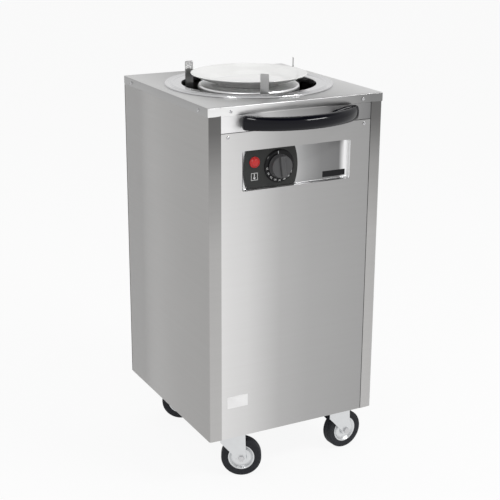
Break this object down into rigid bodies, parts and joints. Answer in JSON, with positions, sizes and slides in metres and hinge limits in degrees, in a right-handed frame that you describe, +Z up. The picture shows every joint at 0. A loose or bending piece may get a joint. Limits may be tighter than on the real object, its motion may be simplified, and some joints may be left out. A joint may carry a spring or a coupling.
{
  "type": "heated plate dispenser",
  "caption": "Mobile heated cabinet with a round well, a sprung carrier that lifts a stack of plates, upright plate guides, a bow handle, a thermostat dial and swivel castors.",
  "frame": {"origin": "centre of the overall box at floor level, under the castors", "axes": "+Z up, -Y is the front with the handle and the dial, +X is the right side"},
  "size_m": [0.4644, 0.573, 0.986],
  "materials": {
    "satin_steel": "satin brushed stainless sheet",
    "polished_steel": "bright polished stainless",
    "galvanised_steel": "dull galvanised sheet",
    "plated_steel": "bright zinc plating",
    "black_gloss_plastic": "glossy black moulding",
    "black_plastic": "matt black moulding",
    "white_plastic": "natural white nylon",
    "red_lens": "clear red lens",
    "white_china": "white glazed china",
    "grey_rubber": "dark grey solid rubber"
  },
  "bodies": {
    "cabinet": {"top_cover": "satin_steel", "well_ring": "polished_steel", "side_panel_left": "satin_steel", "side_panel_right": "satin_steel", "back_panel": "satin_steel", "base_tray": "galvanised_steel", "front_apron": "satin_steel", "front_rail": "galvanised_steel", "front_panel": "satin_steel", "control_recess": "polished_steel", "control_fascia": "black_gloss_plastic", "lamp_lens": "red_lens", "lamp_body": "black_plastic", "thermostat_body": "black_plastic", "push_handle": "black_gloss_plastic", "handle_screws": "plated_steel", "rim_screws": "plated_steel", "panel_screws": "plated_steel", "cage_base": "galvanised_steel", "lift_rods": "polished_steel", "rod_brackets": "galvanised_steel", "guide_brackets": "galvanised_steel", "heater_element": "plated_steel", "heater_brackets": "galvanised_steel", "terminal_block": "white_plastic", "cable_gland": "black_plastic", "castor_plates": "plated_steel", "castor_bolts": "plated_steel", "carrier_springs": "plated_steel"},
    "carrier": {"carrier_disc": "polished_steel", "carrier_column": "galvanised_steel", "carrier_spider": "galvanised_steel", "carrier_bushes": "white_plastic"},
    "plate": {"dinner_plate": "white_china"},
    "dial": {"control_knob": "black_gloss_plastic", "thermostat_shaft": "plated_steel"},
    "guide_front": {"plate_guide_front": "polished_steel"},
    "guide_right": {"plate_guide_right": "polished_steel"},
    "guide_left": {"plate_guide_left": "polished_steel"},
    "castor_fl_swivel": {"castor_fl_fork": "plated_steel", "castor_fl_axle": "plated_steel"},
    "castor_fl_wheel": {"castor_fl_rim": "plated_steel", "castor_fl_tyre": "grey_rubber"},
    "castor_fr_swivel": {"castor_fr_fork": "plated_steel", "castor_fr_axle": "plated_steel"},
    "castor_fr_wheel": {"castor_fr_rim": "plated_steel", "castor_fr_tyre": "grey_rubber"},
    "castor_rl_swivel": {"castor_rl_fork": "plated_steel", "castor_rl_axle": "plated_steel"},
    "castor_rl_wheel": {"castor_rl_rim": "plated_steel", "castor_rl_tyre": "grey_rubber"},
    "castor_rr_swivel": {"castor_rr_fork": "plated_steel", "castor_rr_axle": "plated_steel"},
    "castor_rr_wheel": {"castor_rr_rim": "plated_steel", "castor_rr_tyre": "grey_rubber"}
  },
  "joints": [
    {"name": "carrier_lift", "type": "slide", "parent": "cabinet", "child": "carrier", "axis": [0, 0, 1], "range_m": [-0.44, 0], "stiffness_N_per_m": 650, "springref_m": 0.08, "deforming": ["carrier_springs"]},
    {"name": "plate_lift_off", "type": "slide", "parent": "carrier", "child": "plate", "axis": [0, 0, 1], "range_m": [0, 0.15]},
    {"name": "dial_turn", "type": "hinge", "parent": "cabinet", "child": "dial", "pos_m": [-0.044, -0.2053, 0.7875], "axis": [0, -1, 0], "range_deg": [-270, 0]},
    {"name": "guide_front_turn", "type": "hinge", "parent": "cabinet", "child": "guide_front", "pos_m": [-0.03123, -0.11753, 0.95], "axis": [0, 0, 1], "range_deg": [-8, 36]},
    {"name": "guide_right_turn", "type": "hinge", "parent": "cabinet", "child": "guide_right", "pos_m": [0.15334, 0.09397, 0.95], "axis": [0, 0, 1], "range_deg": [-8, 36]},
    {"name": "guide_left_turn", "type": "hinge", "parent": "cabinet", "child": "guide_left", "pos_m": [-0.12211, 0.14806, 0.95], "axis": [0, 0, 1], "range_deg": [-8, 36]},
    {"name": "castor_fl_swivel_turn", "type": "hinge", "parent": "cabinet", "child": "castor_fl_swivel", "pos_m": [-0.15, -0.1485, 0.114], "axis": [0, 0, 1], "continuous": true},
    {"name": "castor_fl_roll", "type": "hinge", "parent": "castor_fl_swivel", "child": "castor_fl_wheel", "pos_m": [-0.12334, -0.16226, 0.05], "axis": [0.4587, 0.8886, 0], "continuous": true},
    {"name": "castor_fr_swivel_turn", "type": "hinge", "parent": "cabinet", "child": "castor_fr_swivel", "pos_m": [0.15, -0.1485, 0.114], "axis": [0, 0, 1], "continuous": true},
    {"name": "castor_fr_roll", "type": "hinge", "parent": "castor_fr_swivel", "child": "castor_fr_wheel", "pos_m": [0.17989, -0.14589, 0.05], "axis": [-0.0872, 0.9962, 0], "continuous": true},
    {"name": "castor_rl_swivel_turn", "type": "hinge", "parent": "cabinet", "child": "castor_rl_swivel", "pos_m": [-0.15, 0.2135, 0.114], "axis": [0, 0, 1], "continuous": true},
    {"name": "castor_rl_roll", "type": "hinge", "parent": "castor_rl_swivel", "child": "castor_rl_wheel", "pos_m": [-0.12334, 0.19974, 0.05], "axis": [0.4587, 0.8886, 0], "continuous": true},
    {"name": "castor_rr_swivel_turn", "type": "hinge", "parent": "cabinet", "child": "castor_rr_swivel", "pos_m": [0.15, 0.2135, 0.114], "axis": [0, 0, 1], "continuous": true},
    {"name": "castor_rr_roll", "type": "hinge", "parent": "castor_rr_swivel", "child": "castor_rr_wheel", "pos_m": [0.17819, 0.20324, 0.05], "axis": [0.342, 0.9397, 0], "continuous": true}
  ]
}
